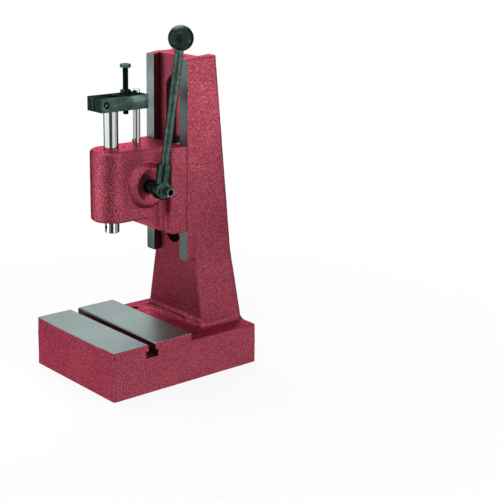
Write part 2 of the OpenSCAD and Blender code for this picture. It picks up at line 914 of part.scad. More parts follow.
// Rack gaps that the teeth reach: those beside the axis at rest, and those that the stroke brings down
reach = (acos((pitch_r + rack_line - ram_d / 2) / tip_r) + half_tooth(tip_r)) / (360 / gear_z);
rack_first = -floor(reach);
rack_last = floor(stroke / pitch + reach);

module pinion_gear() {
    color(zinc)
        at_shaft()
            difference() {
                translate([-gear_w / 2, 0, 0])
                    rotate([90, 0, 90])
                        linear_extrude(height = gear_w)
                            polygon([for (i = [0:gear_z - 1]) each tooth_points(180 + i * 360 / gear_z)]);
                along_x(-gear_w, 2 * gear_w, shaft_d / 2);
                translate([-gear_w, -key_w / 2, 0]) cube([2 * gear_w, key_w, shaft_d / 2 + key_w / 2]);
            }
}

module key_seat(x0, x1, r) {
    translate([x0, -key_w / 2, r - key_w / 2]) cube([x1 - x0, key_w, key_w]);
}

module pinion_shaft() {
    color(zinc)
        at_shaft()
            difference() {
                union() {
                    along_x(shaft_left_x, shoulder_x - shaft_left_x, shaft_d / 2);
                    along_x(shoulder_x - eps, hub_end_x - shoulder_x - 0.5, seat_d / 2);
                }
                key_seat(-gear_w / 2, gear_w / 2, shaft_d / 2);
                key_seat(lever_x - 5, hub_end_x, seat_d / 2);
                // groove for the circlip
                difference() {
                    along_x(chamber_x - circlip_w, circlip_w, shaft_d);
                    along_x(chamber_x - circlip_w - cut, circlip_w + 2 * cut, shaft_d / 2 - 0.6);
                }
                along_x(hub_end_x - 18, 18, cap_thread_d / 2);
            }
}

module pinion_key() {
    color(zinc) at_shaft() key_seat(-gear_w / 2, gear_w / 2, shaft_d / 2);
}

module shaft_circlip() {
    color(black)
        at_shaft()
            difference() {
                along_x(chamber_x - circlip_w, circlip_w - 0.1, shaft_d / 2 + 0.9);
                along_x(chamber_x - circlip_w - cut, circlip_w + 2 * cut, shaft_d / 2 - 0.6);
                translate([chamber_x - circlip_w - cut, -2, -shaft_d]) cube([circlip_w + 2 * cut, 4, shaft_d]);
            }
}

// ---------- lever ----------

// Turned outline of the hub, neck first, radius against length
module hub_outline() {
    shoulder = hub_r - hub_neck_r;
    polygon([
        [0, 0], [hub_neck_r - 0.5, 0], [hub_neck_r, 0.5], [hub_neck_r, hub_neck_l - 1],
        [hub_neck_r + shoulder * 0.55, hub_neck_l + 0.3], [hub_neck_r + shoulder * 0.88, hub_neck_l + 2],
        [hub_r, hub_neck_l + 4.5], [hub_r, hub_neck_l + hub_l - 4],
        [hub_r - 1, hub_neck_l + hub_l - 1.8], [hub_r - 3.5, hub_neck_l + hub_l], [0, hub_neck_l + hub_l]
    ]);
}

// Places a child at the hub with +Z along the lever
module along_lever() {
    at_shaft() translate([lever_x, 0, 0]) rotate([-lever_lean, 0, 0]) children();
}

module lever_hub() {
    color(black)
        difference() {
            union() {
                at_shaft() translate([shoulder_x, 0, 0]) rotate([0, 90, 0]) rotate_extrude() hub_outline();
                along_lever() {
                    cylinder(h = socket_l - 1, r = socket_r);
                    translate([0, 0, socket_l - 1]) cylinder(h = 1, r1 = socket_r, r2 = socket_r - 1);
                }
            }
            at_shaft() {
                along_x(shoulder_x - cut, hub_end_x - shoulder_x + 2 * cut, seat_d / 2);
                key_seat(lever_x - 5, hub_end_x + cut, seat_d / 2);
            }
            along_lever() translate([0, 0, hub_r]) cylinder(h = socket_l, r = rod_d / 2);
        }
}

module hub_key() {
    color(zinc) at_shaft() key_seat(lever_x - 5, hub_end_x - 1, seat_d / 2);
}

module hub_washer() {
    color(black)
        at_shaft()
            difference() {
                along_x(hub_end_x, hub_washer_t, hub_r - 4);
                along_x(hub_end_x - cut, hub_washer_t + 2 * cut, cap_thread_d / 2 + 0.3);
            }
}

module hub_cap_screw() {
    color(black)
        at_shaft()
            translate([hub_end_x + hub_washer_t, 0, 0])
                rotate([0, 90, 0]) cap_screw(cap_thread_d, 18, cap_d / 2, cap_h);
}

module lever_rod() {
    color(black)
        along_lever()
            translate([0, 0, hub_r + 0.5]) cylinder(h = lever_len - hub_r - 2, r = rod_d / 2);
}

module ball_knob() {
    color(black)
        along_lever()
            translate([0, 0, lever_len])
                difference() {
                    sphere(r = ball_d / 2);
                    translate([0, 0, -ball_d]) cylinder(h = ball_d - 1.5, r = rod_d / 2);
                    translate([0, 0, -ball_d]) cylinder(h = ball_d / 2 + 1, r = ball_d);
                }
}

frame_casting();
head_casting();
guide_rod();
clamp_plate();
clamp_bolt_lower();
clamp_bolt_upper();
clamp_washer_lower();
clamp_washer_upper();
shaft_bush_right();
shaft_bush_left();
return_spring();
spring_anchor_pin();
spring_cover();
spring_cover_screws();
ram();
tool_grub_screw();
bridge_block();
block_clamp_screw();
lock_nut();
stop_screw();
pinion_gear();
pinion_shaft();
pinion_key();
shaft_circlip();
lever_hub();
hub_key();
hub_washer();
hub_cap_screw();
lever_rod();
ball_knob();
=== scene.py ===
import json
import math

import bmesh
import bpy
from mathutils import Matrix, Vector, noise


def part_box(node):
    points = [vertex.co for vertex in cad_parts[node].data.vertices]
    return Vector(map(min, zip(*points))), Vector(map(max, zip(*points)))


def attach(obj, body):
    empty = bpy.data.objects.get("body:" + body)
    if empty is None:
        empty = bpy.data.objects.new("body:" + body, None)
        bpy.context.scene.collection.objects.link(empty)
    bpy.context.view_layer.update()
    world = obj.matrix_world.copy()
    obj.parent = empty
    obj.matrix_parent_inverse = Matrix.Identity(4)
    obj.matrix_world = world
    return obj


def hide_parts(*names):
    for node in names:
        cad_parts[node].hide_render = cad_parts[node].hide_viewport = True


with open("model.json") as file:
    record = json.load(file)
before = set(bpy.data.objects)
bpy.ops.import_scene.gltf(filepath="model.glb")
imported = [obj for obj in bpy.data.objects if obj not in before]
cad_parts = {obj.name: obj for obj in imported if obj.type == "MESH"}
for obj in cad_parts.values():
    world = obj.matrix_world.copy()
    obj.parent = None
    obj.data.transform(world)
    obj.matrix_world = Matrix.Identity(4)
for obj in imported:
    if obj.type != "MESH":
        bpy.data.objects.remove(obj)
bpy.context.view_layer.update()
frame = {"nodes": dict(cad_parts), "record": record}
nodes = frame["nodes"]

MM = 0.001
UP, ACROSS = (0, 0, 1), (1, 0, 0)


# ---------- shader arithmetic ----------

class Wire:
    """A node socket that takes part in plain arithmetic."""

    def __init__(self, tree, socket=None):
        self.tree, self.socket = tree, socket

    def add(self, kind, settings=None, out=0, **sockets):
        """Adds a node with its settings, feeds its sockets, and gives one of its outputs.

        A socket goes by its name, with underscores for spaces, or by its place, as in i0."""
        node = self.tree.nodes.new(kind)
        for name, value in (settings or {}).items():
            setattr(node, name, value)
        for name, value in sockets.items():
            by_place = name[0] == "i" and name[1:].isdigit()
            socket = node.inputs[int(name[1:]) if by_place else name.replace("_", " ")]
            if isinstance(value, Wire):
                self.tree.links.new(value.socket, socket)
            else:
                socket.default_value = value
        return Wire(self.tree, node.outputs[out])

    def maths(self, operation, *terms):
        """What a maths node makes of its terms."""
        return self.add("ShaderNodeMath", {"operation": operation},
                        **{f"i{i}": term for i, term in enumerate(terms)})

    def __add__(self, other): return self.maths("ADD", self, other)
    def __radd__(self, other): return self.maths("ADD", other, self)
    def __sub__(self, other): return self.maths("SUBTRACT", self, other)
    def __rsub__(self, other): return self.maths("SUBTRACT", other, self)
    def __mul__(self, other): return self.maths("MULTIPLY", self, other)
    def __truediv__(self, other): return self.maths("DIVIDE", self, other)
    def __abs__(self): return self.maths("ABSOLUTE", self)

    def smooth(self, low, high):
        """0 below low, 1 above high, and a soft step between them."""
        return self.add("ShaderNodeMapRange", {"interpolation_type": "SMOOTHSTEP"},
                        Value=self, From_Min=low, From_Max=high)

    def band(self, none, full, fall, gone):
        """1 from full to fall, 0 below none and above gone, all four in millimetres."""
        return self.smooth(none * MM, full * MM) * (1 - self.smooth(fall * MM, gone * MM))

    def tint(self, dark, light):
        """The colour between dark and light that this value asks for."""
        return self.add("ShaderNodeMix", {"data_type": "RGBA"}, out=2, i0=self, i6=dark, i7=light)

    def split(self):
        """The three parts of a vector."""
        outputs = self.add("ShaderNodeSeparateXYZ", Vector=self).socket.node.outputs
        return [Wire(self.tree, outputs[i]) for i in range(3)]


def rgb(red, green, blue):
    return (red, green, blue, 1.0)


def coordinates(tree):
    """The object's own coordinates, in metres."""
    return Wire(tree).add("ShaderNodeTexCoord", out=3)


def new_material(name):
    material = bpy.data.materials.new(name)
    material.use_nodes = True
    return material, material.node_tree


class Finish:
    """A material with one principled shader, and object coordinates to draw patterns from."""

    def __init__(self, name, **constants):
        self.material, self.tree = new_material(name)
        self.shader = self.tree.nodes["Principled BSDF"]
        self.add = Wire(self.tree).add
        self.place = coordinates(self.tree)
        self.x, self.y, self.z = self.place.split()
        for socket, value in constants.items():
            self.shader.inputs[socket.replace("_", " ")].default_value = value

    def set(self, socket, wire):
        self.tree.links.new(wire.socket, self.shader.inputs[socket])

    def noise(self, size, detail=2.0, rough=0.5, vector=None):
        """Cloudy noise whose blots are about size metres across."""
        return self.add("ShaderNodeTexNoise", Vector=vector or self.place,
                        Scale=1.0 / size, Detail=detail, Roughness=rough)

    def cells(self, size):
        """Rounded bumps about size metres apart, 0 at each bump's middle."""
        return self.add("ShaderNodeTexVoronoi", {"feature": "SMOOTH_F1"},
                        Vector=self.place, Scale=1.0 / size, Smoothness=0.6)

    def stretch(self, x, y, z):
        """The object's coordinates scaled along each axis."""
        return self.add("ShaderNodeMapping", Vector=self.place, Scale=(x, y, z))

    def bump(self, height, depth, strength):
        """Feeds the shader's normal with a height, depth metres deep."""
        self.set("Normal", self.add("ShaderNodeBump",
                                    Height=height, Distance=depth, Strength=strength))


# ---------- finishes ----------

def hammered_paint(name):
    """Crimson hammered paint: metal flake in a skin that is drawn into small dimples.

    Painted shade darkens it on the stem's front, and painted light brightens the web between the
    rails."""
    paint = Finish(name, Metallic=0.88, Specular_IOR_Level=0.2,
                   Specular_Tint=rgb(1.0, 0.36, 0.46))
    dimples = paint.cells(1.9 * MM)
    worms = paint.noise(1.5 * MM)
    cloud = paint.noise(40 * MM, detail=3.0)
    height = (1 - dimples * 1.3) * 0.5 + worms * 0.5
    # painted shade: darker paint on the stem's front, under the head
    painted_shade = paint.y.band(40, 46, 49, 56) * paint.z.band(74, 110, 185, 200)
    # painted light: brighter paint on the web between the rails, above the head
    web = (paint.y.band(46.5, 47.5, 48.5, 49.5) * paint.z.smooth(200 * MM, 210 * MM)
           * paint.x.band(-31, -29, 29, 31))
    raised = (height + (cloud - 0.5) * 0.15).smooth(0.34, 0.72) - painted_shade * 0.35 + web * 0.40
    paint.set("Base Color", raised.tint(rgb(0.225, 0.037, 0.058), rgb(0.525, 0.099, 0.148)))
    paint.set("Roughness", 0.40 - raised * 0.08)
    paint.bump(height, 0.9 * MM, 0.8)
    return paint.material


def oiled_and_shaded_wall(name):
    """Slide walls and slots, milled through the paint, dark with an old oily film and with painted
    shade.
    """
    wall = Finish(name, Metallic=0.2, Specular_IOR_Level=0.2)
    streaks = wall.noise(5 * MM, detail=4.0, rough=0.6, vector=wall.stretch(1.0, 1.0, 0.25))
    # painted shade: the near-black red of these recesses, over an oily film
    wall.set("Base Color", streaks.tint(rgb(0.018, 0.003, 0.004), rgb(0.075, 0.008, 0.012)))
    wall.set("Roughness", 0.40 + streaks * 0.2)
    wall.bump(streaks, 0.1 * MM, 0.4)
    return wall.material


def ground_steel(name, along, dark, light, painted_shade=0.0):
    """Bare cast iron ground flat, with fine lines in the grinder's travel.

    Where painted shade is asked for, it darkens the right side and the lower end."""
    metal = Finish(name, Metallic=1.0)
    stretch = (1.0, 40.0, 1.0) if along == "x" else (40.0, 1.0, 1.0)
    lines = metal.noise(9 * MM, detail=4.0, rough=0.65, vector=metal.stretch(*stretch))
    cloud = metal.noise(35 * MM, detail=3.0)
    right = metal.x.smooth(0.0, 30 * MM)
    low = 1 - metal.z.smooth(160 * MM, 240 * MM)
    # painted shade: darker towards the right side and towards the lower end
    sheen = (lines * 0.6 + cloud * 0.4).smooth(0.2, 0.8) - right * painted_shade - low * painted_shade * 0.6
    metal.set("Base Color", sheen.tint(dark, light))
    metal.set("Roughness", 0.30 + lines * 0.14)
    metal.bump(lines, 0.05 * MM, 0.3)
    return metal.material


def black_oxide(name, level, rough=0.22, blots=1.0):
    """Blackened steel with a green-grey sheen.

    Level makes all of it lighter or darker, and blots under 1 only its darker blots."""
    metal = Finish(name, Metallic=1.0, Specular_Tint=rgb(0.02, 0.02, 0.02))
    cloud = metal.noise(7 * MM, detail=4.0, rough=0.6)
    fine = metal.noise(1.6 * MM, detail=3.0)
    dark = rgb(*[part * level * blots for part in (0.03, 0.055, 0.048)])
    light = rgb(*[part * level for part in (0.12, 0.19, 0.17)])
    metal.set("Base Color", (cloud * 0.5 + fine * 0.5).smooth(0.2, 0.8).tint(dark, light))
    metal.set("Roughness", rough + cloud * 0.16)
    metal.bump(fine, 0.10 * MM, 0.35)
    return metal.material


def worn_edge_and_highlight(name):
    """Steel laid bare where an edge was faced or rubbed, also used as a painted highlight."""
    metal = Finish(name, Metallic=1.0)
    cloud = metal.noise(2 * MM, detail=3.0)
    metal.set("Base Color", cloud.tint(rgb(0.55, 0.58, 0.56), rgb(0.80, 0.83, 0.81)))
    metal.set("Roughness", 0.25 + cloud * 0.2)
    return metal.material


def bright_steel(name):
    """Hard chromed round bar, darker at the ram's lower end as painted shade."""
    metal = Finish(name, Metallic=1.0, Specular_Tint=rgb(0.02, 0.02, 0.02))
    lines = metal.noise(2 * MM, detail=3.0, vector=metal.stretch(1.0, 1.0, 30.0))
    # painted shade: the bar is darker below 228 mm, where the ram hangs under the head's nose
    sheen = lines * 0.14 + metal.z.smooth(228 * MM, 240 * MM) * 0.86
    metal.set("Base Color", sheen.tint(rgb(0.32, 0.34, 0.33), rgb(0.63, 0.66, 0.64)))
    metal.set("Roughness", 0.04 + lines * 0.05)
    return metal.material


def plain_steel(name):
    """Turned and milled steel inside the head and behind the column."""
    metal = Finish(name, Metallic=1.0)
    cloud = metal.noise(6 * MM, detail=4.0)
    metal.set("Base Color", cloud.tint(rgb(0.36, 0.37, 0.36), rgb(0.50, 0.51, 0.49)))
    metal.set("Roughness", 0.30 + cloud * 0.18)
    metal.bump(cloud, 0.05 * MM, 0.3)
    return metal.material


def bearing_bronze(name):
    """Bearing bronze under a dark film of oil."""
    metal = Finish(name, Metallic=1.0)
    cloud = metal.noise(4 * MM, detail=4.0)
    metal.set("Base Color", cloud.tint(rgb(0.05, 0.028, 0.012), rgb(0.13, 0.075, 0.035)))
    metal.set("Roughness", 0.28 + cloud * 0.15)
    return metal.material


def ball_plastic(name):
    """Hard black-green moulding, polished."""
    plastic = Finish(name, Specular_IOR_Level=0.17)
    haze = plastic.noise(12 * MM, detail=3.0)
    plastic.set("Base Color", haze.tint(rgb(0.0015, 0.010, 0.007), rgb(0.005, 0.023, 0.017)))
    plastic.set("Roughness", 0.22 + haze * 0.14)
    return plastic.material


PAINT = hammered_paint("hammered crimson paint")
TABLE = ground_steel("ground table iron", "x",
                     rgb(0.18, 0.235, 0.23), rgb(0.255, 0.325, 0.315))
# the rails get painted shade on their right side and lower end
RAILS = ground_steel("ground rail iron", "z",
                     rgb(0.145, 0.19, 0.185), rgb(0.56, 0.68, 0.65), painted_shade=0.9)
OILED_AND_SHADED = oiled_and_shaded_wall("oiled and shaded slide wall")
BLACK = black_oxide("black oxide steel", 0.66)
BRIGHT = bright_steel("chromed bar steel")
PLAIN = plain_steel("plain machined steel")
BRONZE = bearing_bronze("bearing bronze")
BALL = ball_plastic("dark ball plastic")
# black thread, also used as painted shade in counterbores and key sockets
THREADS_AND_SHADE = black_oxide("black thread", 0.08, rough=0.3)
# a darker copy of black oxide: painted shade on the bridge block's end and top faces
BLACK_FACE_SHADE = black_oxide("black face with painted shade", 0.33, rough=0.4)
FORGED = black_oxide("black forged steel", 0.62, blots=0.1)
LEVER = black_oxide("black lever steel", 0.92, rough=0.32, blots=0.3)
SCREW_HEAD = black_oxide("rubbed screw head", 1.15, rough=0.38)
# rubbed rim, also used as painted light in a key socket
RIM_AND_PAINTED_LIGHT = black_oxide("rubbed black rim and painted light", 2.6, rough=0.3)
# worn edge, also used as a painted highlight on rims and chamfers
WORN_AND_HIGHLIGHT = worn_edge_and_highlight("bare worn edge and painted highlight")

slot_finish = {"red_paint": PAINT, "bright_steel": BRIGHT, "black_steel": BLACK,
               "zinc_steel": PLAIN, "bronze": BRONZE, "ball_plastic": BALL}
slot_of = {part["node"]: part["material_slot"] for part in frame["record"]["subparts"]}
bodies = frame["record"]["behaviour"]["bodies"]
body_of = {node: body for body, members in bodies.items() for node in members}
for node, slot in slot_of.items():
    nodes[node].data.materials.clear()
    nodes[node].data.materials.append(slot_finish[slot])


def dress(piece, node):
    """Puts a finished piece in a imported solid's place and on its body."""
    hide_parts(node)
    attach(piece, body_of[node])


# ---------- mesh tools ----------

def place(name, mesh):
    """Stands a mesh in the scene as an object."""
    obj = bpy.data.objects.new(name, mesh)
    bpy.context.scene.collection.objects.link(obj)
    return obj


def box_mm(node):
    """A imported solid's box, in millimetres."""
    low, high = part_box(node)
    return Vector(low) / MM, Vector(high) / MM


def reshape(mesh, change):
    """Puts a mesh through a bmesh operation."""
    shape = bmesh.new()
    shape.from_mesh(mesh)
    change(shape)
    shape.to_mesh(mesh)
    shape.free()


def closed(name, points, faces):
    """A closed body from its corners, in millimetres, with its faces turned outwards."""
    mesh = bpy.data.meshes.new(name)
    mesh.from_pydata([Vector(p) * MM for p in points], [], faces)
    reshape(mesh, lambda shape: bmesh.ops.recalc_face_normals(shape, faces=shape.faces))
    return place(name, mesh)


def loft(name, sections):
    """A closed body through sections, each a ring of points in the same order."""
    count = len(sections[0])
    points = [p for ring in sections for p in ring]
    faces = [list(range(count)), list(range(len(points) - count, len(points)))]
    for level in range(len(sections) - 1):
        low, high = level * count, (level + 1) * count
        faces += [(low + i, low + (i + 1) % count, high + (i + 1) % count, high + i)
                  for i in range(count)]
    return closed(name, points, faces)


def block(name, low, high):
    """A box between two opposite corners."""
    (x0, y0, z0), (x1, y1, z1) = low, high
    return loft(name, [[(x0, y0, z), (x1, y0, z), (x1, y1, z), (x0, y1, z)] for z in (z0, z1)])


def across(name, outline, half):
    """A Y-Z outline carried along X, from -half to half."""
    return loft(name, [[(x, y, z) for y, z in outline] for x in (-half, half)])


def rod(name, centre, axis, radius, length, sides=64):
    """A round cutter or bar from centre along axis."""
    turn = Vector(axis).to_track_quat("Z", "Y")
    start = Vector(centre)
    ring = [(radius * math.cos(a), radius * math.sin(a))
            for a in (2 * math.pi * i / sides for i in range(sides))]
    return loft(name, [[start + turn @ Vector((x, y, z)) for x, y in ring] for z in (0, length)])


def turned(name, centre, axis, profile, sides=64, flutes=0):
    """A body turned about axis from a profile of (radius, distance).

    A third number in a profile's row is how deep the flutes are there."""
    turn = Vector(axis).to_track_quat("Z", "Y")
    start = Vector(centre)
    rings = []
    for radius, along, *depth in profile:
        ring = []
        for i in range(sides):
            a = 2 * math.pi * i / sides
            r = radius - (depth[0] * (0.5 + 0.5 * math.cos(flutes * a)) if depth else 0.0)
            ring.append(start + turn @ Vector((r * math.cos(a), r * math.sin(a), along)))
        rings.append(ring)
    return loft(name, rings)


def settle(obj):
    """Makes an object's modifiers part of its mesh."""
    graph = bpy.context.evaluated_depsgraph_get()
    mesh = bpy.data.meshes.new_from_object(obj.evaluated_get(graph))
    old, name = obj.data, obj.data.name
    obj.modifiers.clear()
    obj.data = mesh
    bpy.data.meshes.remove(old)
    mesh.name = name
    return obj


def cut(obj, *tools, operation="DIFFERENCE"):
    """Machines closed tools out of a closed body, and does away with the tools."""
    for tool in tools:
        step = obj.modifiers.new("cut", "BOOLEAN")
        step.solver, step.operation, step.object = "MANIFOLD", operation, tool
    settle(obj)
    for tool in tools:
        bpy.data.objects.remove(tool)
    return obj


def recast(obj, grain, rounds, keep):
    """Gives a blank the soft edges and corners of sand casting.

    Its skin is rebuilt with a grain in millimetres, eased in rounds, and thinned to a share."""
    skin = obj.modifiers.new("skin", "REMESH")
    skin.mode, skin.voxel_size, skin.adaptivity = "VOXEL", grain * MM, 0.0
    ease = obj.modifiers.new("ease", "SMOOTH")
    ease.factor, ease.iterations = 0.5, rounds
    thin = obj.modifiers.new("thin", "DECIMATE")
    thin.ratio = keep
    return settle(obj)


def fade(value, none, full):
    """0 at none, 1 at full, and a straight run between them."""
    return min(max((value - none) / (full - none), 0.0), 1.0)


def skin_of(obj):
    """An object's vertices, each with the normal that it has before any of them moves."""
    return zip(obj.data.vertices, [v.normal.copy() for v in obj.data.vertices])


def swell(obj, amount):
    """Moves a casting's skin outwards by amount millimetres."""
    for vertex, normal in skin_of(obj):
        vertex.co += normal * amount * MM


def weather(obj, depth, span, share=None):
    """Moves a casting's skin in and out a little, as moulding sand leaves it.

    Depth and span are in millimetres, and share gives the part of depth at a point."""
    for vertex, normal in skin_of(obj):
        amount = depth * (share(vertex.co / MM) if share else 1.0)
        if amount > 0:
            vertex.co += normal * (amount * MM * noise.noise(vertex.co / (span * MM)))


def shade_by_angle(obj, degrees=35):
    """Shades an object smooth, but for edges sharper than an angle."""
    obj.data.shade_smooth()
    obj.data.set_sharp_from_angle(angle=math.radians(degrees))


def finish_faces(obj, finishes, chooser=None):
    """Gives each face the finish that the chooser names, or the first one."""
    obj.data.materials.clear()
    for finish in finishes:
        obj.data.materials.append(finish)
    for face in obj.data.polygons:
        finish = chooser(face.center / MM, face.normal) if chooser else finishes[0]
        face.material_index = finishes.index(finish)


def true_round(obj, centre, axis, radius):
    """Turns the normals of a bar's round faces straight out from its axis, to mirror cleanly."""
    near, level = 0.03, 0.97
    mesh = obj.data
    start, line = Vector(centre), Vector(axis).normalized()
    normals = [Vector(n.vector) for n in mesh.corner_normals]
    for face in mesh.polygons:
        for corner in face.loop_indices:
            offset = mesh.vertices[mesh.loops[corner].vertex_index].co / MM - start
            offset -= line * offset.dot(line)
            outward = offset.normalized()
            if abs(offset.length - radius) < near and face.normal.dot(outward) > level:
                normals[corner] = outward
    mesh.normals_split_custom_set(normals)


def copy_of(node, name):
    """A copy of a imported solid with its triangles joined, to be worked on."""
    obj = place(name, nodes[node].data.copy())
    reshape(obj.data, lambda shape: bmesh.ops.remove_doubles(shape, verts=shape.verts, dist=1e-6))
    obj.data.materials.clear()
    return obj


def broken_edges(node, width):
    """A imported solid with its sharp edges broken."""
    piece = copy_of(node, node + "_edged")
    reshape(piece.data, lambda shape: bmesh.ops.dissolve_limit(
        shape, angle_limit=math.radians(0.5), verts=shape.verts, edges=shape.edges))
    ease = piece.modifiers.new("ease", "BEVEL")
    ease.width, ease.segments = width * MM, 2
    ease.limit_method, ease.angle_limit = "ANGLE", math.radians(40)
    settle(piece)
    piece.data.materials.append(slot_finish[slot_of[node]])
    shade_by_angle(piece)
    dress(piece, node)
    return piece


def round_bar(node, axis, finish):
    """A plain round bar with clean shading."""
    low, high = box_mm(node)
    bar = copy_of(node, node + "_bar")
    finish_faces(bar, [finish])
    shade_by_angle(bar, 30)
    middle, line = (low + high) / 2, Vector(axis).normalized()
    spokes = [vertex.co / MM - middle for vertex in bar.data.vertices]
    true_round(bar, middle, axis, max((p - line * p.dot(line)).length for p in spokes))
    dress(bar, node)


# ---------- frame casting ----------

# Sizes of the casting in millimetres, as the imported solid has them
BASE_HALF, BASE_FRONT, BASE_REAR, DRAFT = 95.0, -125.0, 125.0, 1.2
TABLE_Z, DECK_Z, STEP_Y = 70.0, 58.5, 6.0
RAIL_Y, RAIL_LOW, COLUMN_TOP = 36.0, 158.5, 444.5
COLUMN_HALF, INNER_HALF, WEB_Y, WEB_REAR_Y = 47.0, 30.0, 48.0, 66.0
STEM_Y, FLARE_TOP, FLARE_BEND, FOOT_HALF = 51.5, 175.0, 31.0, 65.8
SLOT_Y, SLOT_HALF, CHAMBER_HALF, CHAMBER_LOW, CHAMBER_TOP = -61.8, 6.0, 10.5, 50.5, 60.7
HOLE_X, HOLE_Y, HOLE_R = 70.0, 30.0, 5.5
WEB_SLOT_R, WEB_SLOT_LOW, WEB_SLOT_HIGH = 16.8, 191.3, 400.2
COLUMN_WALL, HOLLOW_HALF = 17.0, 81.0
SIDE_FILLET, FRONT_FILLET, REAR_FILLET = 7.0, 11.0, 4.0
SWELL = 0.35


def column_half(z):
    """Half the column's width at a height, which widens towards its foot."""
    slope = (FOOT_HALF - COLUMN_HALF) / (FLARE_TOP - FLARE_BEND / 2 - DECK_Z)
    below = FLARE_TOP - z
    if below <= 0:
        return COLUMN_HALF
    bent = below ** 2 / (2 * FLARE_BEND) if below < FLARE_BEND else below - FLARE_BEND / 2
    return COLUMN_HALF + slope * bent


def column_rear(z):
    """How far back the column reaches at a height, which leans in more above its knee."""
    foot, knee_z, knee, top = 124.0, 155.0, 118.0, 86.0
    if z > knee_z:
        return knee - (knee - top) * (z - knee_z) / (COLUMN_TOP - knee_z)
    return foot - (foot - knee) * (z - DECK_Z) / (knee_z - DECK_Z)


def foot_spread(z, radius):
    """How far a foot fillet of this radius stands out at a height."""
    rise = min(max(radius - (z - DECK_Z), 0.0), radius)
    return radius - math.sqrt(radius ** 2 - rise ** 2)


def ring(half, front, rear, z, bend=1.2):
    """A rectangle at a height, half wide to each side, with corners rounded by bend."""
    corners = ((half, front, -90), (half, rear, 0), (-half, rear, 90), (-half, front, 180))
    points = []
    for x, y, start in corners:
        cx, cy = x - math.copysign(bend, x), y + (bend if y == front else -bend)
        for step in range(4):
            a = math.radians(start + 30 * step)
            points.append((cx + bend * math.cos(a), cy + bend * math.sin(a), z))
    return points


def stem_ring(z):
    """The stem's outline at a height, with its fillets at the deck."""
    rear = min(column_rear(z) + foot_spread(z, REAR_FILLET), BASE_REAR - 0.4)
    return ring(column_half(z) + foot_spread(z, SIDE_FILLET),
                STEM_Y - foot_spread(z, FRONT_FILLET), rear, z, 2.0)


def rough_foot(p):
    """Where the sand left the casting roughest: low on the stem's front."""
    return (fade(p.y, 62, 50) * fade(p.z, 86, 64) * fade(p.z, 56, 60)
            * fade(abs(p.x), 74, 60))


def crown_and_bead(blank):
    """Raises the column's top in a slack wave, lays the bead along the stem's foot, and
    keeps the skin within the base's sides."""
    side, end = BASE_HALF + DRAFT - 0.05, BASE_REAR + DRAFT - 0.05
    bead_z, bead_rise, bead_spread = 67.5, 1.5, 3.0
    for vertex in blank.data.vertices:
        x, y, z = vertex.co / MM
        crown = fade(z, COLUMN_TOP - 8, COLUMN_TOP - 1)
        wave = 2.6 * fade(y, 40, 84) + 0.5 * math.sin((y - 44) / 6.0) - 0.3
        vertex.co.z += crown * MM * wave
        bead = (bead_rise * math.exp(-((z - bead_z) / bead_spread) ** 2)
                * fade(y, 57, 50) * fade(abs(x), 70, 60))
        vertex.co.x = MM * min(max(x, -side), side)
        vertex.co.y = MM * min(max(y - bead, -end), end)


def frame_blank():
    """The frame as cast: deck, raised table, stem and column, with machining allowance."""
    foot = DRAFT - SWELL
    blank = loft("frame blank", [
        ring(BASE_HALF + foot, BASE_FRONT - foot, BASE_REAR + foot, -4),
        ring(BASE_HALF + 0.2, BASE_FRONT - 0.2, BASE_REAR + 0.2, DECK_Z)])
    table = loft("table blank", [
        ring(BASE_HALF + 0.5, BASE_FRONT - 0.5, STEP_Y + 2, 40),
        ring(BASE_HALF, BASE_FRONT, STEP_Y + 2, TABLE_Z + 2.5)])
    fillet = [DECK_Z + 1.2 * i for i in range(11)]
    flare = [75.0 + 5.0 * i for i in range(22)]
    stem = loft("stem blank", [stem_ring(z) for z in [50.0] + fillet + flare + [190.0, COLUMN_TOP]])
    rails = block("rail blank", (-COLUMN_HALF, RAIL_Y - 2.5, RAIL_LOW),
                  (COLUMN_HALF, STEM_Y + 10, COLUMN_TOP))
    cut(blank, table, stem, rails, operation="UNION")
    hollow = loft("hollow core", [ring(column_half(z) - COLUMN_WALL, WEB_REAR_Y, 140.0, z)
                                  for z in flare[:-1] + [190.0, COLUMN_TOP + 30]])
    front_hollow = block("front hollow core", (-HOLLOW_HALF, -111, -10), (HOLLOW_HALF, 1, 38.5))
    rear_hollow = block("rear hollow core", (-HOLLOW_HALF, 11, -10), (HOLLOW_HALF, 111, 44))
    cut(rear_hollow, *[rod("boss core", (side * HOLE_X, HOLE_Y, -20), UP, 14, 80)
                       for side in (-1, 1)])
    cut(blank, hollow, front_hollow, rear_hollow)
    recast(blank, 1.25, 7, 0.26)
    swell(blank, SWELL)
    weather(blank, 0.25, 30.0)
    weather(blank, 0.10, 9.0)
    weather(blank, 1.1, 11.0, rough_foot)
    crown_and_bead(blank)
    return blank


def edge_wedge(edge, out, lift):
    """A wedge that takes a table edge off at 45 degrees: its low, inner and outer corners.

    Edge is where the edge lies, out is the way out of the iron, and lift raises the cut."""
    chamfer, reach = 0.6, 5.0
    return ((edge + out * reach, TABLE_Z - chamfer - reach + lift),
            (edge - out * (chamfer + reach), TABLE_Z + reach + lift),
            (edge + out * reach, TABLE_Z + 9))


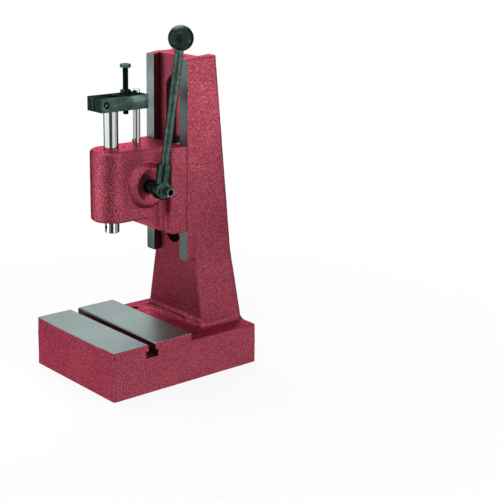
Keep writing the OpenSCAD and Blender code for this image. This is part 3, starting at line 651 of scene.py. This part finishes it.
def frame_machining():
    """The tools that bring the frame's blank to size."""
    wide, front, rear, above = 110, -140, 140, 470
    half_slot = [(CHAMBER_HALF, CHAMBER_LOW), (CHAMBER_HALF, CHAMBER_TOP), (SLOT_HALF, CHAMBER_TOP),
                 (SLOT_HALF, TABLE_Z - 1.6), (SLOT_HALF + 1.6, TABLE_Z), (SLOT_HALF + 1.6, 80)]
    slot = ([(-CHAMBER_HALF, CHAMBER_LOW)] + half_slot
            + [(-y, z) for y, z in reversed(half_slot[1:])])
    turns = [math.pi * (i + 0.5) / 24 for i in range(48)]
    web_slot = [(WEB_SLOT_R * math.cos(a),
                 (WEB_SLOT_HIGH if math.sin(a) > 0 else WEB_SLOT_LOW) + WEB_SLOT_R * math.sin(a))
                for a in turns]
    low, inner, outer = edge_wedge(STEP_Y, 1, 0.6)
    tools = [
        block("foot mill", (-wide, front, -20), (wide, rear, 0)),
        block("table mill", (-wide, front, TABLE_Z), (wide, STEP_Y + 10, 90)),
        block("step mill", (-wide, STEP_Y, DECK_Z + 0.35), (wide, STEP_Y + 10, 80)),
        across("slot mill", [(SLOT_Y + y, z) for y, z in slot], wide),
        block("rail mill", (-70, 10, 140), (70, RAIL_Y, above)),
        block("channel mill", (-INNER_HALF, 10, 140), (INNER_HALF, WEB_Y, above)),
        loft("web slot mill", [[(x, y, z) for x, z in web_slot] for y in (20, 80)]),
        across("front edge chamfer", edge_wedge(BASE_FRONT, -1, 0.8), wide),
        across("step edge chamfer", (low, outer, inner), wide),
    ]
    for side in (-1, 1):
        tools.append(block("groove mill", (side * INNER_HALF - 2, WEB_Y - 3.2, RAIL_LOW - 4),
                           (side * INNER_HALF + 2, WEB_Y, above)))
        tools.append(rod("mounting drill", (side * HOLE_X, HOLE_Y, -10), UP, HOLE_R, 90))
        wedge = edge_wedge(side * (BASE_HALF + 0.1), side, 0.7)
        tools.append(loft("side edge chamfer", [[(x, y, z) for x, z in wedge]
                                                for y in (front, STEP_Y + 1)]))
    return tools


def frame_finish(centre, normal):
    """Paint, but for the ground table and rails, and for oily walls with painted shade in the slots
    and the channel.
    """
    if centre.z > TABLE_Z - 0.8 and centre.y < STEP_Y + 0.1 and normal.z > 0.5:
        return TABLE
    if abs(centre.y - RAIL_Y) < 0.02 and normal.y < -0.99:
        return RAILS
    in_channel = (abs(abs(centre.x) - INNER_HALF) < 2.1 and RAIL_Y < centre.y < WEB_Y + 0.1
                  and centre.z > RAIL_LOW - 5 and abs(normal.z) < 0.1)
    in_web_slot = (WEB_Y - 0.5 < centre.y < WEB_REAR_Y + 0.5 and abs(normal.y) < 0.3
                   and abs(centre.x) < WEB_SLOT_R + 0.1
                   and 150 < centre.z < WEB_SLOT_HIGH + WEB_SLOT_R + 1)
    in_table_slot = (abs(centre.y - SLOT_Y) < CHAMBER_HALF + 0.1 and abs(normal.x) < 0.5
                     and CHAMBER_LOW - 0.5 < centre.z < TABLE_Z - 0.3)
    # painted shade on the channel's walls and in the slots
    return OILED_AND_SHADED if in_channel or in_web_slot or in_table_slot else PAINT


def frame_casting():
    casting = cut(frame_blank(), *frame_machining())
    casting.name = "frame_casting_dressed"
    finish_faces(casting, [PAINT, TABLE, RAILS, OILED_AND_SHADED], frame_finish)
    shade_by_angle(casting, 32)
    dress(casting, "frame_casting")


# ---------- head casting ----------

RAM_Y = -59.0


def head_casting():
    """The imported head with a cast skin, milled again where it slides and where the ram runs."""
    casting = recast(copy_of("head_casting", "head_casting_dressed"), 0.9, 6, 0.4)
    swell(casting, SWELL)
    weather(casting, 0.2, 14.0)
    tongue_half, flange_half = INNER_HALF - 0.3, 60
    mills = []
    for side in (-1, 1):
        left, right = sorted((side * tongue_half, side * flange_half))
        mills.append(block("flange mill", (left, RAIL_Y, 190), (right, RAIL_Y + 30, 340)))
    cut(casting, rod("ram reamer", (0, RAM_Y, 200), UP, 10.15, 150), *mills)
    finish_faces(casting, [PAINT])
    shade_by_angle(casting, 40)
    dress(casting, "head_casting")


frame_casting()
head_casting()


# ---------- ram, bridge block, stop screw and plates ----------

STOP_X, STOP_Y = 0.0, -34.0


def thread_tree():
    """Geometry nodes that give a round bar a helical thread which runs out at both ends."""
    tree = bpy.data.node_groups.new("screw thread", "GeometryNodeTree")
    face = tree.interface
    for name in ("Length", "Radius", "Pitch", "Depth"):
        face.new_socket(name, in_out="INPUT", socket_type="NodeSocketFloat")
    face.new_socket("Finish", in_out="INPUT", socket_type="NodeSocketMaterial")
    face.new_socket("Geometry", in_out="OUTPUT", socket_type="NodeSocketGeometry")
    given = tree.nodes.new("NodeGroupInput").outputs
    length, radius, pitch, depth, finish = (Wire(tree, given[i]) for i in range(5))
    add = length.add
    bar = add("GeometryNodeMeshCylinder", {"fill_type": "NGON"}, Vertices=36,
              Side_Segments=length / pitch * 8, Radius=radius, Depth=length)
    x, y, z = add("GeometryNodeInputPosition").split()
    climb = z / pitch - y.maths("ARCTAN2", y, x) / (2 * math.pi)
    groove = abs(climb.maths("FRACT", climb) * 2 - 1)
    to_end = (length * 0.5 - abs(z)) / (depth * 2)
    run_out = to_end.maths("MINIMUM", to_end, 1.0)
    sink = (1 - groove * run_out) * depth / radius
    move = add("ShaderNodeCombineXYZ", X=0 - x * sink, Y=0 - y * sink, Z=0.0)
    threaded = add("GeometryNodeSetPosition", Geometry=bar, Offset=move)
    real = add("GeometryNodeRealizeInstances", Geometry=threaded)
    coated = add("GeometryNodeSetMaterial", Geometry=real, Material=finish)
    tree.links.new(coated.socket, tree.nodes.new("NodeGroupOutput").inputs[0])
    return tree


THREAD = thread_tree()


def threaded_bar(name, centre, length, radius, pitch, depth, finish):
    """An upright threaded bar from centre, in millimetres."""
    bar = place(name, bpy.data.meshes.new(name))
    step = bar.modifiers.new("thread", "NODES")
    step.node_group = THREAD
    sizes = {"Length": length * MM, "Radius": radius * MM, "Pitch": pitch * MM,
             "Depth": depth * MM, "Finish": finish}
    for socket in THREAD.interface.items_tree:
        if socket.name in sizes:
            step[socket.identifier] = sizes[socket.name]
    settle(bar)
    middle = Vector(centre) + Vector((0, 0, length / 2))
    bar.data.transform(Matrix.Translation(middle * MM))
    return bar


def hexagon(name, centre, flats, height, low_edge, high_edge):
    """An upright hexagon whose corners are turned down by low_edge and high_edge."""
    corner = flats / math.sqrt(3)
    flat = flats / 2 - 0.25
    blank = rod(name, centre, UP, corner, height, sides=6)
    outline = turned("corner turning", centre, UP, [
        (flat if low_edge else corner + 1, 0),
        (corner + 0.02, low_edge or 0.001),
        (corner + 0.02, height - (high_edge or 0.001)),
        (flat if high_edge else corner + 1, height)])
    return cut(blank, outline, operation="INTERSECT")


def stop_screw():
    """The threaded stop screw, with its head rubbed by the spanner."""
    low, high = box_mm("stop_screw")
    flats, head = high.y - low.y, 5.0
    head_low = high.z - head
    screw = threaded_bar("stop_screw_threaded", (STOP_X, STOP_Y, low.z), head_low - low.z + 0.5,
                         4.0, 1.25, 0.55, THREADS_AND_SHADE)
    cut(screw, hexagon("head", (STOP_X, STOP_Y, head_low), flats, head, 0, 1.0),
        operation="UNION")
    finish_faces(screw, [THREADS_AND_SHADE, SCREW_HEAD],
                 lambda at, normal: SCREW_HEAD if at.z > head_low - 0.01 else THREADS_AND_SHADE)
    shade_by_angle(screw, 40)
    dress(screw, "stop_screw")


def lock_nut():
    """The stop screw's hexagon nut, with its bore countersunk at both faces."""
    low, high = box_mm("lock_nut")
    height, bore_r, edge_r = high.z - low.z, 4.1, 5.2
    nut = hexagon("lock_nut_turned", (STOP_X, STOP_Y, low.z), high.y - low.y, height, 0.8, 0.8)
    cut(nut, turned("nut bore", (STOP_X, STOP_Y, low.z), UP,
                    [(edge_r, -1), (bore_r, 0.9), (bore_r, height - 0.9), (edge_r, height + 1)]))
    finish_faces(nut, [FORGED])
    shade_by_angle(nut, 25)
    dress(nut, "lock_nut")


def ram():
    """The chromed ram, dull on its sawn upper end."""
    low, high = box_mm("ram")
    bar = copy_of("ram", "ram_bar")
    finish_faces(bar, [BRIGHT, THREADS_AND_SHADE], lambda at, normal:
                 THREADS_AND_SHADE if at.z > high.z - 2.5 and normal.z > 0.5 else BRIGHT)
    shade_by_angle(bar, 30)
    true_round(bar, (low + high) / 2, UP, (high.x - low.x) / 2)
    dress(bar, "ram")


def bridge_block():
    """The bridge block and its clamp screw, with painted shade on the block's end and top faces, in
    the screw's counterbore and on the screw's head, and painted light in its key socket.
    """
    screw_low, screw_high = box_mm("block_clamp_screw")
    axis = (screw_low + screw_high) / 2
    counterbore_r, socket_r = 4.75, 2.3

    def from_axis(at):
        return math.hypot(at.y - axis.y, at.z - axis.z)

    def block_finish(at, normal):
        # painted shade: a darker black on the end and top faces
        if abs(normal.y) > 0.9 or normal.z > 0.9:
            return BLACK_FACE_SHADE
        # painted shade: near black down in the screw's counterbore
        return THREADS_AND_SHADE if from_axis(at) < counterbore_r and at.x < screw_high.x - 0.1 else BLACK

    finish_faces(broken_edges("bridge_block", 1.1), [BLACK, BLACK_FACE_SHADE, THREADS_AND_SHADE], block_finish)
    screw = copy_of("block_clamp_screw", "block_clamp_screw_dressed")
    # painted shade on the screw's head, painted light in its deep key socket
    finish_faces(screw, [THREADS_AND_SHADE, RIM_AND_PAINTED_LIGHT],
                 lambda at, normal: RIM_AND_PAINTED_LIGHT if from_axis(at) < socket_r else THREADS_AND_SHADE)
    shade_by_angle(screw, 30)
    dress(screw, "block_clamp_screw")


stop_screw()
lock_nut()
ram()
round_bar("guide_rod", UP, BRIGHT)
bridge_block()
for node, width in (("clamp_plate", 0.8), ("spring_cover", 0.4), ("clamp_washer_lower", 0.3),
                    ("clamp_washer_upper", 0.3), ("hub_washer", 0.3)):
    broken_edges(node, width)


# ---------- hand lever ----------

LEVER_LEAN, PIVOT = math.radians(9.1), Vector((63.5, -21.0, 273.5))
ALONG = Vector((0.0, math.sin(LEVER_LEAN), math.cos(LEVER_LEAN)))
HUB_X, HUB_R, SOCKET_END = 60.5, 13.0, 49.0
NECK_X, NECK_LENGTH, NECK_R = 47.4, 3.2, 7.2


def beside(x):
    """The point of the pinion's axis at this x."""
    return (x, PIVOT.y, PIVOT.z)


def lever_hub():
    """The forged hub: a neck, a rounded shoulder, and a worn rim at the socket's mouth that is also
    a painted highlight.
    """
    hub = copy_of("lever_hub", "lever_hub_forged")
    groove = rod("neck groove", beside(NECK_X), ACROSS, 16, NECK_LENGTH)
    cut(groove, rod("neck core", beside(45), ACROSS, NECK_R, 9))
    first = 49.0
    ball = [(math.sqrt(HUB_R ** 2 - (HUB_X - x) ** 2) + 0.03, x - first)
            for x in (first, 51.0, 53.0, 55.0, 57.0, 59.0)]
    rounding = rod("shoulder rounding", beside(50.0), ACROSS, 16, 8)
    cut(rounding, turned("shoulder core", beside(first), ACROSS, ball),
        block("shoulder top", (40, -50, PIVOT.z + 5), (70, 10, PIVOT.z + 30)))
    cut(hub, groove, rounding)
    recast(hub, 0.5, 9, 0.4)
    weather(hub, 0.15, 5.0)
    cut(hub, turned("rim tool", PIVOT + ALONG * (SOCKET_END - 1.5), ALONG,
                    [(10.6, 0), (14, 0), (14, 4), (8.2, 4), (8.2, 2.2)]))

    def hub_finish(at, normal):
        on_rim = (at - PIVOT).dot(ALONG) > SOCKET_END - 2.2 and 0.2 < normal.dot(ALONG) < 0.95
        # wear and painted highlight on the socket's rim
        return WORN_AND_HIGHLIGHT if on_rim else FORGED

    finish_faces(hub, [FORGED, WORN_AND_HIGHLIGHT], hub_finish)
    shade_by_angle(hub, 30)
    dress(hub, "lever_hub")


def hub_cap_screw():
    """The socket screw at the end of the hub, with a fluted head, a bright faced rim, painted shade
    in its key socket and a painted highlight on its chamfer's lower right.
    """
    low, high = box_mm("hub_cap_screw")
    face, radius, head, flute = high.x - low.x, (high.z - low.z) / 2, 8.0, 0.55
    start = face - head
    y, z = (low.y + high.y) / 2, (low.z + high.z) / 2
    profile = [(3.2, 0), (4.0, 0.8), (4.0, start), (radius - 0.4, start), (radius, start + 0.5),
               (radius, start + 0.9, 0.0), (radius, start + 1.3, flute),
               (radius, face - 2.0, flute), (radius, face - 1.5, 0.0),
               (radius - 0.1, face - 1.1), (radius - 1.0, face)]
    screw = turned("hub_cap_screw_fluted", (low.x, y, z), ACROSS, profile, sides=144, flutes=24)
    cut(screw, rod("key socket", (high.x - 4.5, y, z), ACROSS, 6 / math.sqrt(3), 9, sides=6),
        turned("key countersink", (high.x - 1.2, y, z), ACROSS, [(3.2, 0), (4.7, 1.2), (4.7, 3)]))

    def screw_finish(at, normal):
        in_socket = (high.x - 4.6 < at.x < high.x - 0.1
                     and math.hypot(at.y - y, at.z - z) < 4.6)
        # painted shade: the key socket near black
        if in_socket:
            return THREADS_AND_SHADE
        if at.x < high.x - 1.3 or normal.x < 0.1:
            return FORGED
        if normal.x > 0.98:
            return RIM_AND_PAINTED_LIGHT
        # painted highlight on the lower right of the chamfer
        return WORN_AND_HIGHLIGHT if at.y - at.z > y - z - 2 else FORGED

    finish_faces(screw, [FORGED, WORN_AND_HIGHLIGHT, THREADS_AND_SHADE, RIM_AND_PAINTED_LIGHT], screw_finish)
    shade_by_angle(screw, 30)
    dress(screw, "hub_cap_screw")


def ball_knob():
    """The ball, turned from where the rod enters it to its far end."""
    low, high = box_mm("ball_knob")
    radius, first, last, steps = (high.x - low.x) / 2 - 0.16, 157.0, 0.6, 44
    angles = [math.radians(first + (last - first) * i / steps) for i in range(steps + 1)]
    profile = [(radius * math.sin(a), radius * math.cos(a)) for a in angles]
    knob = turned("ball_knob_moulded", (low + high) / 2, ALONG, profile, sides=80)
    finish_faces(knob, [BALL])
    shade_by_angle(knob, 40)
    dress(knob, "ball_knob")


lever_hub()
hub_cap_screw()
ball_knob()
round_bar("lever_rod", ALONG, LEVER)


# ---------- camera, floor and light ----------

def look(azimuth, down, roll):
    """The turn of a camera from its azimuth round the object, its downward pitch and its roll."""
    a, e, r = (math.radians(v) for v in (azimuth, down, roll))
    ahead = Vector((-math.sin(a) * math.cos(e), math.cos(a) * math.cos(e), -math.sin(e)))
    level = Vector((math.cos(a), math.sin(a), 0.0))
    above = level.cross(ahead)
    right = level * math.cos(r) + above * math.sin(r)
    up = above * math.cos(r) - level * math.sin(r)
    return Matrix((right, up, -ahead)).transposed()


camera = place("camera", bpy.data.cameras.new("camera"))
camera.data.lens, camera.data.sensor_width = 89.41, 36.0
camera.data.clip_start, camera.data.clip_end = 0.05, 50.0
camera.matrix_world = (Matrix.Translation((1.37766, -1.01341, 0.66219))
                       @ look(48.715, 16.009, 1.04).to_4x4())
bpy.context.scene.camera = camera
camera_bearing = math.atan2(camera.location.y, camera.location.x)


def shown(tree):
    """1 for rays from the camera, from a mirror or through glass, and 0 for the rest."""
    path = tree.nodes.new("ShaderNodeLightPath")
    seen, mirrored, through = (Wire(tree, path.outputs[f"Is {ray} Ray"])
                               for ray in ("Camera", "Glossy", "Transmission"))
    return seen.maths("MAXIMUM", seen.maths("MAXIMUM", seen, mirrored), through)


def floor():
    """A wide white floor that shows as plain white but keeps the shadow under the press."""
    mesh = bpy.data.meshes.new("floor")
    half = 12.0
    corners = [(-half, -half, 0), (half, -half, 0), (half, half, 0), (-half, half, 0)]
    mesh.from_pydata(corners, [], [(0, 1, 2, 3)])
    obj = place("floor", mesh)
    material, tree = new_material("white floor")
    shader = tree.nodes["Principled BSDF"]
    shader.inputs["Base Color"].default_value = rgb(0.84, 0.84, 0.84)
    shader.inputs["Roughness"].default_value = 0.9
    shader.inputs["Specular IOR Level"].default_value = 0.0
    glow = tree.nodes.new("ShaderNodeEmission")
    spot = coordinates(tree)
    away = spot.add("ShaderNodeVectorMath", {"operation": "LENGTH"}, out=1, i0=spot)
    share = shown(tree) * (0.85 + away.smooth(0.30, 0.8) * 0.15)
    mix = tree.nodes.new("ShaderNodeMixShader")
    tree.links.new(share.socket, mix.inputs[0])
    tree.links.new(shader.outputs[0], mix.inputs[1])
    tree.links.new(glow.outputs[0], mix.inputs[2])
    tree.links.new(mix.outputs[0], tree.nodes["Material Output"].inputs["Surface"])
    mesh.materials.append(material)


def studio_world():
    """Plain grey light from all round, which the camera and mirrors see as white."""
    world = bpy.data.worlds.new("studio")
    bpy.context.scene.world = world
    world.use_nodes = True
    tree = world.node_tree
    ground = tree.nodes["Background"]
    ground.inputs["Color"].default_value = rgb(1, 1, 1)
    strength = shown(tree) * 0.80 + 0.20
    tree.links.new(strength.socket, ground.inputs["Strength"])


def lamp(name, spot, aim, size, power):
    """A rectangular lamp that the camera doesn't see, turned to its aim."""
    light = bpy.data.lights.new(name, "AREA")
    light.shape, light.size, light.size_y, light.energy = "RECTANGLE", *size, power
    obj = place(name, light)
    obj.location = spot
    obj.rotation_euler = (Vector(aim) - Vector(spot)).to_track_quat("-Z", "Y").to_euler()
    obj.visible_camera = False


def strip(name, bearing, reach, aim, size, glow):
    """A close lamp of an even glow, standing low, where the camera sees it mirrored in its aim."""
    b = camera_bearing + math.radians(bearing)
    drop = 0.28 * reach
    spot = (aim[0] + reach * math.cos(b), aim[1] + reach * math.sin(b), aim[2] - drop)
    lamp(name, spot, aim, size, glow * math.pi * size[0] * size[1])


def grey(level):
    """A grey with a faint green cast."""
    return rgb(level, level * 1.03, level * 1.02)


def card(name, start, end, foot, head, reach=0.42, top=0.9):
    """A card standing round the press between two bearings, which only polish and gloss show.

    Bearings are in degrees to the right of the camera, as seen from it. The card's grey runs
    evenly from foot, low down, to head, higher up."""
    low, high, steps = 0.05, 0.35, 12
    bearings = [camera_bearing + math.radians(start + (end - start) * i / steps)
                for i in range(steps + 1)]
    points = [(reach * math.cos(b), reach * math.sin(b), z) for z in (0.0, top) for b in bearings]
    mesh = bpy.data.meshes.new(name)
    mesh.from_pydata(points, [], [(i, i + 1, i + steps + 2, i + steps + 1) for i in range(steps)])
    obj = place(name, mesh)
    material, tree = new_material(name)
    glow = tree.nodes.new("ShaderNodeEmission")
    rise = coordinates(tree).split()[2].smooth(low, high)
    tree.links.new(rise.tint(grey(foot), grey(head)).socket, glow.inputs["Color"])
    tree.links.new(glow.outputs[0], tree.nodes["Material Output"].inputs["Surface"])
    mesh.materials.append(material)
    obj.visible_camera = obj.visible_diffuse = False
    obj.visible_shadow = obj.visible_transmission = False


floor()
studio_world()
card("dark card by the camera", -29, 14, 0.08, 0.08)
card("grey card on the right", 23, 90, 0.80, 1.04)
card("dark card on the right", 92, 150, 0.01, 0.01)
card("low card behind", 150, 210, 0.01, 0.01, reach=0.70, top=0.20)
card("grey card in front", -84, -29, 0.60, 1.30)
card("pale card on the left", -109, -84, 0.28, 1.5)
card("dark card on the left", -150, -109, 0.01, 0.01)
lamp("overhead box", (-0.95, 0.30, 1.9), (0, 0, 0.2), (1.4, 1.4), 26)
lamp("front box", (1.1, -1.3, 2.0), (0, 0, 0.1), (1.5, 1.5), 29)
lamp("side box", (1.9, 1.0, 1.35), (0, 0, 0.25), (0.9, 0.9), 15)
NOSE, COLUMN = (0, -0.059, 0.255), (0.047, 0.07, 0.455)
strip("first left strip", -74, 0.36, NOSE, (0.12, 0.11), 9.0)
strip("left edge strip", -122, 0.36, NOSE, (0.06, 0.11), 2.0)
strip("right strip", 31, 0.36, NOSE, (0.03, 0.11), 9.0)
strip("column strip", 72.6, 0.33, COLUMN, (0.10, 0.08), 8.5)

bpy.context.scene.view_settings.view_transform = "Standard"
